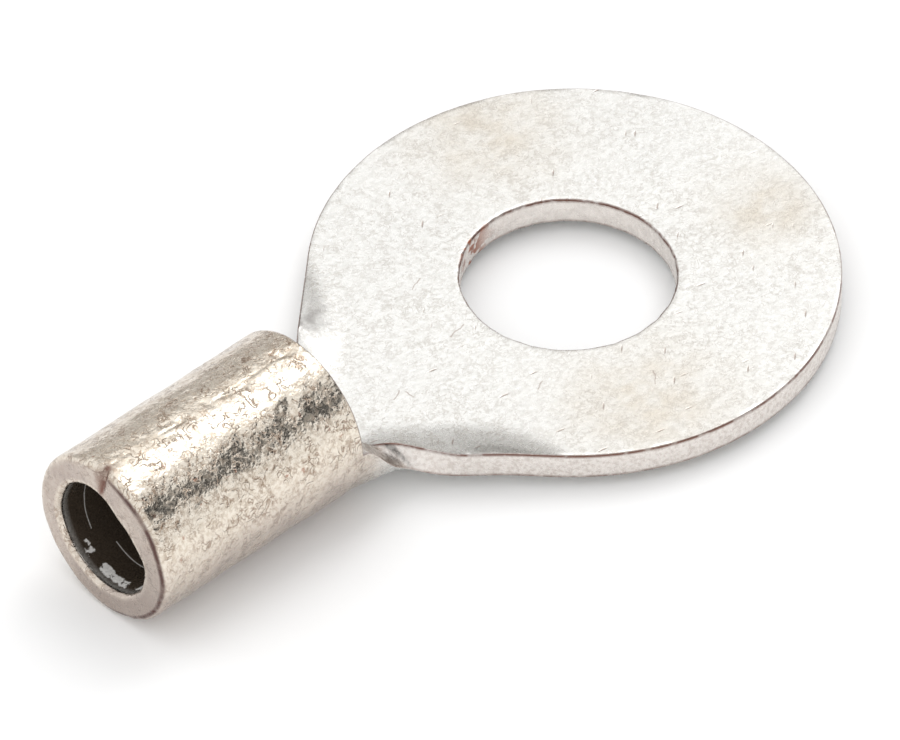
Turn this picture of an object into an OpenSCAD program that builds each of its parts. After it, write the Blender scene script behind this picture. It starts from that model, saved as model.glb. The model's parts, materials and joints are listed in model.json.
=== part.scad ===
// Ring terminal, bare: one sheet, stamped flat, with one end rolled into a crimp barrel.
// The origin is the centre of the stud hole on the ring's underside. The barrel points
// along -X, the ring's tip is at +X, and +Z is the side that the barrel's seam is on.

/* [Sheet] */
// Thickness of the sheet
sheet_t = 0.9; // [0.7:0.05:1.1]
// Radius that the stamping leaves on the upper edges
edge_round = 0.12; // [0.05:0.01:0.2]

/* [Ring] */
// Outside diameter of the ring
ring_d = 16; // [14:0.5:20]
// Diameter of the stud hole
stud_hole_d = 6.5; // [4.3:0.1:8.5]
// How far the stud hole sits from the ring's centre, towards the barrel
hole_shift = 0.25; // [0:0.05:0.5]
// Angle of the flanks that run from the ring to the neck
flank_angle = 42; // [36:1:46]

/* [Barrel] */
// Outside diameter of the barrel
barrel_d = 5.5; // [5:0.1:6]
// Length of the barrel
barrel_len = 8; // [6:0.5:12]
// How far the barrel hangs below the ring's underside
barrel_drop = 0.4; // [0.2:0.05:0.6]
// Rounding of the mouth's outer edge
mouth_round = 0.25; // [0.1:0.05:0.3]
// Rounding of the mouth's inner edge, which leads the wire in
mouth_lead = 0.18; // [0.1:0.02:0.3]

/* [Seam] */
// Width of the groove that the butted edges leave along the barrel
seam_w = 0.22; // [0.15:0.01:0.4]
// Depth of that groove
seam_depth = 0.1; // [0.06:0.01:0.18]

/* [Neck] */
// Clear distance from the ring's circle to the barrel's end
barrel_gap = 3.1; // [2.6:0.1:4]
// Length over which the rolled section opens out flat
neck_len = 3.3; // [3:0.1:4]
// Narrowest width of the flat blank
waist_w = 3.9; // [3.5:0.1:4.6]
// Length over which the blank narrows from the barrel to its waist
corner_len = 2.1; // [1.6:0.1:2.4]
// How sharply the waist turns into the flanks
waist_blend = 0.5; // [0.3:0.1:1]
// Length over which the sheet climbs from the barrel to the ring
climb_len = 2; // [1.6:0.1:2.8]
// How far round from its underside the barrel's wall carries on into the neck
wall_angle = 92; // [80:1:100]
// How much the bend gathers at the sheet's edges as it opens out
edge_gather = 1.5; // [0.5:0.1:2]

/* [Hidden] */

$fn = 96;
over = 1;              // how far a cutter runs past what it cuts
skin = 0.01;           // how far the neck's ends lie under the faces that they run into
lap = 0.3;             // how far the neck runs into the barrel's wall and into the ring
stations = 18;         // sections along the neck
half_steps = 11;       // steps across half of one section
arc_steps = 3;         // steps round one stamped edge
hold_len = 0.2;        // how far the neck keeps the barrel's curve before it opens
gather_len = 0.75 * neck_len;                    // where the bend has moved out to the edges

ring_r = ring_d / 2;
stud_hole_r = stud_hole_d / 2;
barrel_r = barrel_d / 2;
seam_r = (seam_w * seam_w / 4 + seam_depth * seam_depth) / (2 * seam_depth);  // radius of the seam's groove
seam_nick = mouth_round + seam_depth;            // depth of the nick where the seam meets the mouth
bore_r = barrel_r - sheet_t;
roll_r = barrel_r - sheet_t / 2;                 // the sheet's middle, where it is rolled
axis_z = barrel_r - barrel_drop;
ring_x = hole_shift;                             // the ring's centre
barrel_end_x = ring_x - ring_r - barrel_gap;     // the barrel's end that faces the ring
mouth_x = barrel_end_x - barrel_len;
flat_x = barrel_end_x + neck_len;                // from here on the sheet is flat
tangent_x = ring_x - ring_r * sin(flank_angle);  // where a flank meets the ring's circle
tangent_y = ring_r * cos(flank_angle);

// The neck's stamped edge, from the upper face over to the side, its square corner at [0, 0]
edge_arc = [for (k = [1 : arc_steps])
    let(a = 90 * k / arc_steps) edge_round * [sin(a) - 1, cos(a) - 1]];

copper_tin = [0.80, 0.77, 0.73];

// A rise from 0 to 1 with level ends
function ease(q) = let(c = min(max(q, 0), 1)) c * c * (3 - 2 * c);

// The larger of two values, with the step between them blended over k
function smooth_max(a, b, k) =
    let(d = min(max(0.5 + (a - b) / (2 * k), 0), 1)) b * (1 - d) + a * d + k * d * (1 - d);

// Half width of the blank on the flank that leaves the ring's circle
function flank_half(x) = (ring_r + sin(flank_angle) * (x - ring_x)) / cos(flank_angle);

// Half width of the flat blank at distance u from the barrel's end
function blank_half(u) =
    let(waist = waist_w / 2, wall = roll_r * wall_angle * PI / 180)
    smooth_max(flank_half(barrel_end_x + u), waist, waist_blend)
        + (wall - waist) * (1 - ease(u / corner_len));

// Slope of the sheet's edge in the section at u: upright at the barrel, level at the ring
function edge_slope(u) = wall_angle * (1 - ease((u - hold_len) / (neck_len - hold_len)));

// How the slope grows from the middle (q = 0) to the edge (q = 1)
function slope(u, q) = edge_slope(u) * pow(q, 1 + edge_gather * ease(u / gather_len));

// Height of the sheet's middle along the neck's centre line
function spine_z(u) = sheet_t / 2 - barrel_drop * (1 - ease(u / climb_len));

// Half of the section's middle line, from the spine outwards: [y, z, slope] at each step
function half_line(u) =
    let(h = blank_half(u), ds = (h - edge_round * edge_stretch(u) - 2 * tuck(u)) / half_steps)
    [for (i = 0, y = 0, z = spine_z(u), a = 0, m = 0;
          i <= half_steps;
          i = i + 1,
          m = slope(u, (i - 0.5) * ds / h),
          y = y + ds * cos(m),
          z = z + ds * sin(m),
          a = slope(u, i * ds / h))
     [y, z, a]];

// A point at distance a along the slope and n off the middle line
function off(p, a, n) = [p[0] + a * cos(p[2]) - n * sin(p[2]), p[1] + a * sin(p[2]) + n * cos(p[2])];

// Top and bottom points of the section's right half, column by column, out to the rounded edge
function half_columns(u) =
    let(line = half_line(u), last = line[half_steps],
        n = sheet_t / 2 - tuck(u), wide = edge_stretch(u))
    concat(
        [for (p = line) [off(p, 0, n), off(p, 0, -n)]],
        [for (p = edge_arc)
            let(a = wide * (edge_round + p[0])) [off(last, a, n + p[1]), off(last, a, -n)]]);

// How far the neck's faces lie back at u: by the skin at both ends, and not at all between them
function tuck(u) = skin * (1 - ease(min(u, neck_len - u)));

// How much wider the stamped edge is in the section at u than square to the outline there
function edge_stretch(u) =
    let(du = 0.01, slope = (blank_half(u + du) - blank_half(u - du)) / (2 * du)) sqrt(1 + slope * slope);

// All columns of the section, from its left edge to its right
function columns(u) =
    let(right = half_columns(u), count = len(right))
    concat(
        [for (i = [count - 1 : -1 : 1]) [for (p = right[i]) [-p[0], p[1]]]],
        right);

// The sheet between barrel and ring: its half-round section opens out into a flat strip
module neck() {
    rows = [for (k = [0 : stations])
        let(u = -lap + (neck_len + 2 * lap) * k / stations)
        [for (c = columns(u)) for (p = c) [barrel_end_x + u, p[0], p[1]]]];
    band(rows);
}

// A closed band through rows of points that alternate between top and bottom
module band(rows) {
    n = len(rows[0]);
    last = len(rows) - 1;
    function top(r, c) = r * n + 2 * c;
    function low(r, c) = r * n + 2 * c + 1;
    cells = [for (r = [0 : last - 1]) for (c = [0 : n / 2 - 2]) [r, c]];
    function quad(a, b, c, d) = [[c, b, a], [d, c, a]];
    quads = concat(
        [for (k = cells) quad(top(k[0], k[1]), top(k[0] + 1, k[1]), top(k[0] + 1, k[1] + 1), top(k[0], k[1] + 1))],
        [for (k = cells) quad(low(k[0], k[1] + 1), low(k[0] + 1, k[1] + 1), low(k[0] + 1, k[1]), low(k[0], k[1]))],
        [for (r = [0 : last - 1]) quad(low(r, 0), low(r + 1, 0), top(r + 1, 0), top(r, 0))],
        [for (r = [0 : last - 1]) quad(top(r, n / 2 - 1), top(r + 1, n / 2 - 1), low(r + 1, n / 2 - 1), low(r, n / 2 - 1))],
        [for (c = [0 : n / 2 - 2]) quad(top(0, c), top(0, c + 1), low(0, c + 1), low(0, c))],
        [for (c = [0 : n / 2 - 2]) quad(low(last, c), low(last, c + 1), top(last, c + 1), top(last, c))]);
    polyhedron(
        points = [for (row = rows) for (p = row) p],
        faces = [for (pair = quads) for (face = pair) face]);
}

// What a quarter-round of radius r takes off a square corner at the origin
module round_off(r) {
    difference() {
        translate([-r, -r]) square(2 * r);
        translate([-r, -r]) circle(r = r);
    }
}

// The ring's disc with its stamped upper edge
module disc() {
    translate([ring_x, 0, 0])
    rotate_extrude()
    difference() {
        square([ring_r, sheet_t]);
        translate([ring_r, sheet_t]) round_off(edge_round);
    }
}

// The flat web between the flanks, with the same stamped edge along both of them
module web() {
    flank_y = flank_half(flat_x);
    flank_len = (tangent_x - flat_x) / cos(flank_angle);
    difference() {
        linear_extrude(height = sheet_t)
        polygon([[flat_x, -flank_y], [tangent_x, -tangent_y], [ring_x, 0], [tangent_x, tangent_y], [flat_x, flank_y]]);
        for (side = [0, 1])
            mirror([0, side, 0])
            translate([tangent_x, tangent_y, sheet_t])
            rotate([90, 0, 90 + flank_angle])
            translate([0, 0, -flank_len - over])
            linear_extrude(height = flank_len + over)
            round_off(edge_round);
    }
}

module ring() {
    difference() {
        union() {
            disc();
            web();
        }
        translate([flat_x - ring_d, -ring_d, -over]) cube([ring_d, 2 * ring_d, sheet_t + 2 * over]);
        translate([0, 0, -over]) cylinder(h = sheet_t + 2 * over, r = stud_hole_r);
    }
}

// The rolled barrel, open at both ends, with its mouth's edges rounded
module barrel_tube() {
    translate([mouth_x, 0, axis_z])
    rotate([0, 90, 0])
    rotate_extrude()
    difference() {
        translate([bore_r, 0]) square([sheet_t, barrel_len]);
        translate([barrel_r, 0]) mirror([0, 1]) round_off(mouth_round);
        translate([bore_r, 0]) mirror([1, 0]) mirror([0, 1]) round_off(mouth_lead);
    }
}

// The rounded groove along the seam, and the nick where it reaches the mouth
module seam_cutter() {
    translate([mouth_x, 0, axis_z + barrel_r]) {
        translate([-over, 0, seam_r - seam_depth])
        rotate([0, 90, 0])
        cylinder(h = barrel_len + 2 * over, r = seam_r);
        rotate([0, 45, 0])
        cube([seam_nick * sqrt(2), seam_w, seam_nick * sqrt(2)], center = true);
    }
}

module barrel() {
    difference() {
        barrel_tube();
        seam_cutter();
    }
}

module ring_terminal() {
    color(copper_tin)
    union() {
        ring();
        neck();
        barrel();
    }
}

ring_terminal();
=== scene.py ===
import json
import math
import bpy
import bmesh
import numpy as np
from mathutils import Matrix, Vector, noise


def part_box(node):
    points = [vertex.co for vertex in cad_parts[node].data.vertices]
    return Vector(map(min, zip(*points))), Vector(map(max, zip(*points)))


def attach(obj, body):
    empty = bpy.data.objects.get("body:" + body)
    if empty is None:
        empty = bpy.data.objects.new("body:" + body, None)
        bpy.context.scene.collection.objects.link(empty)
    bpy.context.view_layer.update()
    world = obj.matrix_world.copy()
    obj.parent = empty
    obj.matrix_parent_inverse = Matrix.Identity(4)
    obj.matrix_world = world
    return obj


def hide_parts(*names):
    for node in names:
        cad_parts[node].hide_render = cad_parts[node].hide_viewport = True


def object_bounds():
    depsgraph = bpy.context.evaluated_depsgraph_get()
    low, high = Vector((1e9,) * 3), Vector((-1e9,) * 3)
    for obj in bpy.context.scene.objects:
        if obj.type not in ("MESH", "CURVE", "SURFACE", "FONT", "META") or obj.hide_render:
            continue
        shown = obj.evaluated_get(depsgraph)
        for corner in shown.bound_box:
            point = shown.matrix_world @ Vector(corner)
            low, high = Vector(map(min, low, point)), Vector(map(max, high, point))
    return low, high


# A bare ring terminal: one tinned copper sheet, stamped flat and rolled into a barrel at one end.
# Lengths in the dictionaries are in millimetres and angles in degrees; the meshes are in metres.

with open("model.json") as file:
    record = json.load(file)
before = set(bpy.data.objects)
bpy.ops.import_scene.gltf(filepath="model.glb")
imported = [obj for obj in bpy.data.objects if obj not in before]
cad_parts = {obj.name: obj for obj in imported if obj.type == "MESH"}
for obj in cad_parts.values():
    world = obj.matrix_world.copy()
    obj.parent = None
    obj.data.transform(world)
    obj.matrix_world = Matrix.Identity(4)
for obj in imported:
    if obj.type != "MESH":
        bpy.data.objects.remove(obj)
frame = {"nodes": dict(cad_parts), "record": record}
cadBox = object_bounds()
mm = 0.001
mounts = {m["name"]: m for m in frame["record"]["mounts"]}
lowCorner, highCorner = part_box("ring_terminal")
studHole = mounts["stud_hole"]
wireBarrel = mounts["wire_barrel"]
ringRadius = (highCorner.y - lowCorner.y) / 2 / mm
barrelRadius = (highCorner.z - lowCorner.z) / 2 / mm
mouthX = lowCorner.x / mm

sheet = {
    "thickness": mounts["tongue_top"]["pos_m"][2] / mm,
    "topRound": 0.05,  # what the stamping rolls off the upper edge
    "bottomRound": 0.03,  # the sharper edge underneath
    "roundSteps": 5,
    "straightSteps": 9,  # rows of faces down the cut side
    "footSteps": 4,
}

ring = {
    "radius": ringRadius,
    "centreX": highCorner.x / mm - ringRadius,
    "holeRadius": studHole["dims"]["r_mm"],
    "holeX": studHole["pos_m"][0] / mm,
    "flankAngle": 42,  # the straight flanks that run from the ring to the neck
    "holeRound": 0.07,
    "flankSteps": 30,
    "arcSteps": 310,
    "webSteps": 40,  # from the outline to the hole
}

barrel = {
    "radius": barrelRadius,
    "mouthX": mouthX,
    "endX": 2 * wireBarrel["pos_m"][0] / mm - mouthX,
    "axisZ": wireBarrel["pos_m"][2] / mm,
    "mouthRound": 0.24,  # the rolled outer edge of the mouth
    "mouthLead": 0.18,  # the inner edge, which leads the wire in
    "rimRound": 0.06,  # the far end's edges
    "rowSteps": 72,
    "topSteps": 54,  # from the neck's edge up to the seam, on each side
    "seamCrowding": 0.75,  # how much finer the mesh gets towards the seam
}

neck = {
    "length": 3.3,  # over which the rolled section opens out flat
    "waist": 3.9,  # narrowest width of the flat blank
    "waistBlend": 0.5,
    "cornerLength": 2.1,  # over which the blank narrows to its waist
    "climbLength": 2.0,  # over which the sheet climbs from the barrel to the ring
    "wallAngle": 92,  # how far round the barrel's wall carries on into the neck
    "edgeGather": 1.5,  # how much the bend gathers at the edges as it opens out
    "gatherShare": 0.75,  # of the neck's length
    "holdLength": 0.2,  # before it starts to open
    "slices": 240,  # fine steps that the section is added up from
    "rowSteps": 34,
    "halfSteps": 44,
    "curlLift": 0.13,  # of the edges that curl up along the flanks
    "curlTilt": 0.30,  # how much more the light shows of that curl
    "curlReach": 1.6,  # inwards from the edge
    "curlStart": 1.6,  # past the barrel's end
    "curlLength": 4.2,
}

# How quickly the rounding of an edge stops pulling the sheet's own points inwards
fading = {
    "power": 6,  # towards the neck's cut edges
    "aboveCorner": 0.35,  # share of the half sheet, up the barrel's far rim
    "belowCorner": 0.15,  # and down it
    "rows": 14,  # of the barrel, from its far end
}

rollRadius = barrel["radius"] - sheet["thickness"] / 2
gatherLength = neck["gatherShare"] * neck["length"]
wallTurn = math.radians(neck["wallAngle"])
flankTurn = math.radians(ring["flankAngle"])


def ease(q):
    c = np.clip(q, 0, 1)
    return c * c * (3 - 2 * c)


def smoothMax(a, b, softness):
    d = np.clip(0.5 + (a - b) / (2 * softness), 0, 1)
    return b * (1 - d) + a * d + softness * d * (1 - d)


# Half the width of the blank between the flanks, at a place along the part
def flankHalf(x):
    return (ring["radius"] + math.sin(flankTurn) * (x - ring["centreX"])) / math.cos(flankTurn)


# Half the width of the flat blank at distance u from the barrel
def blankHalf(u):
    waist = neck["waist"] / 2
    wall = rollRadius * wallTurn
    flank = flankHalf(barrel["endX"] + u)
    spread = (wall - waist) * (1 - ease(u / neck["cornerLength"]))
    return smoothMax(flank, waist, neck["waistBlend"]) + spread


def spineHeight(u):
    drop = barrel["radius"] - barrel["axisZ"]
    return sheet["thickness"] / 2 - drop * (1 - ease(u / neck["climbLength"]))


# One section of the neck at distance u from the barrel: the middle of the sheet and its normal
def neckSection(u, q):
    opened = ease((u - neck["holdLength"]) / (neck["length"] - neck["holdLength"]))
    power = 1 + neck["edgeGather"] * ease(u / gatherLength)
    s = np.linspace(0, 1, neck["slices"] + 1)
    slopes = wallTurn * (1 - opened) * s ** power
    middles = (slopes[1:] + slopes[:-1]) / 2
    across = np.concatenate([[0], np.cumsum(np.cos(middles))]) / neck["slices"]
    up = np.concatenate([[0], np.cumsum(np.sin(middles))]) / neck["slices"]
    half = blankHalf(u)
    side = np.sign(q)
    y = side * half * np.interp(abs(q), s, across)
    z = spineHeight(u) + half * np.interp(abs(q), s, up)
    slope = side * np.interp(abs(q), s, slopes)
    x = np.full_like(y, barrel["endX"] + u)
    points = np.stack([x, y, z], -1)
    normals = np.stack([0 * y, -np.sin(slope), np.cos(slope)], -1)
    return points, normals


def barrelSection(x, q):
    turn = wallTurn * q
    y = rollRadius * np.sin(turn)
    z = barrel["axisZ"] - rollRadius * np.cos(turn)
    points = np.stack([x + 0 * y, y, z], -1)
    normals = np.stack([0 * y, -np.sin(turn), np.cos(turn)], -1)
    return points, normals


# Columns run across the sheet. Those up to q = 1 on each side go on into the neck.
lowerQ = np.linspace(-1, 1, 2 * neck["halfSteps"] + 1)
upperShare = np.arange(1, barrel["topSteps"] + 1) / barrel["topSteps"]
crowding = barrel["seamCrowding"]
upperShare = upperShare * (1 + crowding) - crowding * upperShare ** 2
upperQ = 1 + (math.pi / wallTurn - 1) * upperShare
columnQ = np.concatenate([-upperQ[::-1], lowerQ, upperQ[:-1]])
columnCount = len(columnQ)
firstLower = barrel["topSteps"]
lastLower = firstLower + 2 * neck["halfSteps"]
lowerCount = lastLower - firstLower + 1


# The flat plate's outline, from the neck's far corner round the tip to its near corner
def plateOutline():
    corner = np.array([barrel["endX"] + neck["length"], blankHalf(neck["length"])])
    tangent = [ring["centreX"] - ring["radius"] * math.sin(flankTurn), ring["radius"] * math.cos(flankTurn)]
    share = np.linspace(0, 1, ring["flankSteps"] + 1)[1:, None]
    flank = corner + (np.array(tangent) - corner) * share
    flankOut = np.tile([-math.sin(flankTurn), math.cos(flankTurn)], (len(flank), 1))
    angles = np.linspace(math.pi / 2 + flankTurn, -math.pi / 2 - flankTurn, ring["arcSteps"] + 1)[1:-1]
    arcOut = np.stack([np.cos(angles), np.sin(angles)], -1)
    arc = arcOut * ring["radius"] + [ring["centreX"], 0]
    points = np.concatenate([flank, arc, flank[::-1] * [1, -1]])
    outward = np.concatenate([flankOut, arcOut, flankOut[::-1] * [1, -1]])
    return points, outward


outlinePoints, outlineOut = plateOutline()
loopCount = lowerCount + len(outlinePoints)

# The vertex numbers of the sheet's middle: barrel rows, neck rows, and rings from outline to hole
barrelIndex = np.arange((barrel["rowSteps"] + 1) * columnCount).reshape(-1, columnCount)
nextIndex = barrelIndex.size
neckIndex = np.zeros((neck["rowSteps"] + 1, lowerCount), int)
neckIndex[0] = barrelIndex[-1, firstLower:lastLower + 1]
neckIndex[1:] = nextIndex + np.arange(neck["rowSteps"] * lowerCount).reshape(-1, lowerCount)
nextIndex += neck["rowSteps"] * lowerCount
plateIndex = np.zeros((ring["webSteps"] + 1, loopCount), int)
plateIndex[0, :lowerCount] = neckIndex[-1]
plateIndex[0, lowerCount:] = nextIndex + np.arange(len(outlinePoints))
nextIndex += len(outlinePoints)
plateIndex[1:] = nextIndex + np.arange(ring["webSteps"] * loopCount).reshape(-1, loopCount)
sheetCount = nextIndex + ring["webSteps"] * loopCount


# Middle points and normals of the sheet, drawn in from each edge by what its rounding takes
def sheetPoints(edgeInset, rimInset, mouthInset, holeInset):
    points = np.zeros((sheetCount, 3))
    normals = np.zeros((sheetCount, 3))
    reach = abs(columnQ)
    above = np.clip(1 - (reach - 1) / fading["aboveCorner"], 0, 1) ** 2
    below = np.clip(1 - (1 - reach) / fading["belowCorner"], 0, 1) ** 2
    nearCorner = np.where(reach <= 1, reach ** fading["power"], above)
    rimShare = np.where(reach <= 1, below, 1)
    rows = barrel["rowSteps"]
    for i in range(rows + 1):
        start = barrel["mouthX"] + mouthInset
        x = start + (barrel["endX"] - rimInset * rimShare - start) * i / rows
        fade = max(0, 1 - (rows - i) / fading["rows"]) ** 2
        q = columnQ - np.sign(columnQ) * edgeInset / blankHalf(0) * nearCorner * fade
        points[barrelIndex[i]], normals[barrelIndex[i]] = barrelSection(x, q)
    for r in range(1, neck["rowSteps"] + 1):
        u = neck["length"] * r / neck["rowSteps"]
        q = lowerQ - np.sign(lowerQ) * edgeInset / blankHalf(u) * abs(lowerQ) ** fading["power"]
        points[neckIndex[r]], normals[neckIndex[r]] = neckSection(u, q)
    outer = np.zeros((loopCount, 2))
    outer[:lowerCount] = points[neckIndex[-1], :2]
    outer[lowerCount:] = outlinePoints - edgeInset * outlineOut
    hole = np.array([ring["holeX"], 0])
    away = outer - hole
    away /= np.linalg.norm(away, axis=1)[:, None]
    inner = hole + away * (ring["holeRadius"] + holeInset)
    for k in range(1, ring["webSteps"] + 1):
        points[plateIndex[k], :2] = outer + (inner - outer) * k / ring["webSteps"]
    points[plateIndex[0, lowerCount:], :2] = outer[lowerCount:]
    flat = np.concatenate([plateIndex[0, lowerCount:], plateIndex[1:].ravel()])
    points[flat, 2] = sheet["thickness"] / 2
    normals[flat] = [0, 0, 1]
    return points, normals


def gridFaces(index, closed):
    last = np.roll(index, -1, 1) if closed else index[:, 1:]
    first = index if closed else index[:, :-1]
    corners = np.stack([first[:-1], last[:-1], last[1:], first[1:]], -1)
    return corners.reshape(-1, 4)


# Each free edge of the sheet: vertex numbers, edge points, outward directions, normals, roundings
def mouthEdge():
    points, normals = barrelSection(np.full(columnCount, barrel["mouthX"]), columnQ)
    outward = np.tile([-1.0, 0, 0], (columnCount, 1))
    rounds = np.tile([barrel["mouthLead"], barrel["mouthRound"]], (columnCount, 1))
    return barrelIndex[0], points, outward, normals, rounds


def holeEdge():
    middle = sheetPoints(0, 0, 0, 0)[0][plateIndex[-1]]
    inward = np.array([ring["holeX"], 0, middle[0, 2]]) - middle
    inward /= np.linalg.norm(inward, axis=1)[:, None]
    normals = np.tile([0.0, 0, 1], (loopCount, 1))
    rounds = np.tile([ring["holeRound"], sheet["bottomRound"]], (loopCount, 1))
    return plateIndex[-1], middle, inward, normals, rounds


def outerEdge():
    middle, normal = sheetPoints(0, 0, 0, 0)
    nearSide = neckIndex[:, -1]
    farSide = neckIndex[::-1, 0]
    rim = np.concatenate([barrelIndex[-1, :firstLower][::-1], barrelIndex[-1, lastLower + 1:][::-1]])
    loop = np.concatenate([nearSide, plateIndex[0, lowerCount:], farSide, rim])
    points = middle[loop]
    normals = normal[loop]
    along = np.roll(points, -1, 0) - np.roll(points, 1, 0)
    outward = np.cross(normals, along)
    outward /= np.linalg.norm(outward, axis=1)[:, None]
    sides = len(nearSide) + len(outlinePoints) + len(farSide)
    outward[sides:] = [1, 0, 0]
    for corner in (0, sides - 1):       # where the neck's edges meet the barrel's rim
        across = np.array([0, -normals[corner, 2], normals[corner, 1]])
        if across[2] < 0:
            across = -across
        outward[corner] = across + [1, 0, 0]
    rounds = np.tile([sheet["topRound"], sheet["bottomRound"]], (len(loop), 1))
    rounds[sides:] = barrel["rimRound"]
    return loop, points, outward, normals, rounds


# How far out and how high each row of an edge lies, from the upper rounding down to the lower one
def edgeProfile(rounds):
    half = sheet["thickness"] / 2
    top, bottom = rounds[:, 0], rounds[:, 1]
    steps = []
    for k in range(1, sheet["roundSteps"] + 1):
        turn = math.pi / 2 * k / sheet["roundSteps"]
        steps.append((-top * (1 - math.sin(turn)), half - top * (1 - math.cos(turn))))
    for k in range(1, sheet["straightSteps"]):
        share = k / sheet["straightSteps"]
        steps.append((0 * top, (half - top) * (1 - share) + (bottom - half) * share))
    for k in range(sheet["footSteps"]):
        turn = math.pi / 2 * k / sheet["footSteps"]
        steps.append((-bottom * (1 - math.cos(turn)), -half + bottom * (1 - math.sin(turn))))
    return steps


# What each vertex belongs to: the sheet's upper or lower side, or one of its free edges
topKind, lowKind, mouthKind, holeKind, outerKind = range(5)


def buildSheet():
    edge = sheet["topRound"]
    foot = sheet["bottomRound"]
    half = sheet["thickness"] / 2
    rim = barrel["rimRound"]
    topMiddle, topNormal = sheetPoints(edge, rim, barrel["mouthLead"], ring["holeRound"])
    lowMiddle, lowNormal = sheetPoints(foot, rim, barrel["mouthRound"], foot)
    points = [topMiddle + half * topNormal, lowMiddle - half * lowNormal]
    kinds = [np.full(sheetCount, topKind), np.full(sheetCount, lowKind)]
    levels = [np.full(sheetCount, 1.0), np.full(sheetCount, -1.0)]
    faces = []
    for index, closed in ((barrelIndex, True), (neckIndex, False), (plateIndex, True)):
        faces.append(gridFaces(index, closed))
        faces.append(gridFaces(index, closed)[:, ::-1] + sheetCount)
    count = 2 * sheetCount
    for kind, freeEdge in ((mouthKind, mouthEdge()), (holeKind, holeEdge()), (outerKind, outerEdge())):
        loop, middle, outward, normals, rounds = freeEdge
        strip = [loop]
        for out, up in edgeProfile(rounds):
            points.append(middle + out[:, None] * outward + up[:, None] * normals)
            kinds.append(np.full(len(loop), kind))
            levels.append(up / half)
            strip.append(count + np.arange(len(loop)))
            count += len(loop)
        strip.append(loop + sheetCount)
        faces.append(gridFaces(np.array(strip), True))
    return np.concatenate(points), np.concatenate(kinds), np.concatenate(levels), np.concatenate(faces)


# A level is how high a vertex lies in the sheet's thickness, from -1 underneath to 1 on top
points, kinds, levels, faces = buildSheet()
print("sheet:", len(points), "vertices,", len(faces), "faces")

# Each wave is its height, how many there are to a millimetre, and where it starts in the noise
rolling = {
    "wide": (0.024, 0.7, 7.3),
    "middle": (0.016, 1.6, 1.7),
    "fine": (0.005, 5.0, 5.2),
    "bore": (0.05, 1.1, 2.2),
    "mouth": (1.0, 0.9, 4.6),
    "shrink": 0.004,  # keeps the waves inside the part's own size
    "pastEnd": 0.3,  # how far past the barrel's end they fade out
    "outerLevel": -0.7,  # below it a vertex moves with the outside
    "levelSpan": 1.3,  # and this much higher, with the bore
    "mouthWear": 0.04,
    "mouthReach": 0.5,
    "mouthShare": 0.5,
}

seam = {
    "width": 0.06,
    "depth": 0.028,
    "wander": 0.10,  # how far it strays sideways
    "wanderScale": 0.55,
    "depthScale": 0.9,
    "depthMiddle": 0.35,  # how deep it is on the whole, and how much that changes
    "depthSwing": 1.4,
    "pitDepth": 0.15,
    "pitAlong": 2.4,
    "pitAround": 3.2,
    "pitGap": 0.12,  # the higher, the fewer pits
    "pitSpread": 4,  # of the seam's width
    "starts": {"wander": 3.1, "depth": 9.2, "pits": 4.4},
    "notchLength": 0.26,  # the nick where it reaches the mouth
    "notchWidth": 0.16,
}

# Marks that the rolling left: distance from the mouth, turn from the top, radius and height
marks = {
    "blister": (1.45, 3, 0.20, 0.030),
    "deepPit": (6.15, -33, 0.26, -0.075),
    "pitLip": (5.75, -27, 0.22, 0.040),
    "shallowPit": (4.2, -37, 0.30, -0.035),
    "mouthDent": (0.9, -38, 0.35, -0.030),
}
markReach = 3                # radii within which a mark is felt

# Where the bore is pressed flatter, beside the seam
boreFlat = {
    "depth": 0.46,
    "turn": -38,
    "spread": 40,
    "length": 3.5,  # from the mouth inwards
}

# The ring isn't dead flat, and its edges are slightly uneven
plate = {
    "bow": (0.012, 0.35, 3.3),
    "holeWide": (0.022, 3.0, 8.1),
    "holeFine": (0.012, 8.0, 2.9),
    "edgeWide": (0.0072, 1.6, 6.1),
    "edgeFine": (0.0036, 6.0, 4.9),
    "shrink": 0.006,
    "fadeLength": 0.6,
}


def ripple(spot, wave):
    height, scale, start = wave
    return height * noise.noise(Vector((spot[0] * scale + start, spot[1] * scale, spot[2] * scale)))


# How far a mark lifts the barrel's surface at a distance along it and an arc length round it
def markLift(along, arc):
    lift = 0
    for start, turn, radius, height in marks.values():
        gap = math.hypot(along - start, arc - math.radians(turn) * barrel["radius"]) / radius
        if gap < markReach:
            lift += height * math.exp(-gap ** 2)
    return lift


def seamStray(x):
    return seam["wander"] * noise.noise(Vector((x * seam["wanderScale"], seam["starts"]["wander"], 0)))


def seamGroove(x, arc):
    offset = (arc - seamStray(x)) / seam["width"]
    swing = noise.noise(Vector((x * seam["depthScale"], seam["starts"]["depth"], 0)))
    depth = max(0, seam["depthMiddle"] + seam["depthSwing"] * swing)
    spot = Vector((x * seam["pitAlong"], arc * seam["pitAround"], seam["starts"]["pits"]))
    pit = max(0, noise.noise(spot) - seam["pitGap"])
    groove = seam["depth"] * depth * math.exp(-offset ** 2)
    return groove + seam["pitDepth"] * pit * math.exp(-(offset / seam["pitSpread"]) ** 2)


def boreFlattening(along, turn):
    spread = (math.degrees(turn) - boreFlat["turn"]) / boreFlat["spread"]
    fade = max(0, 1 - along / boreFlat["length"])
    return boreFlat["depth"] * math.exp(-spread ** 2) * fade


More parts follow.
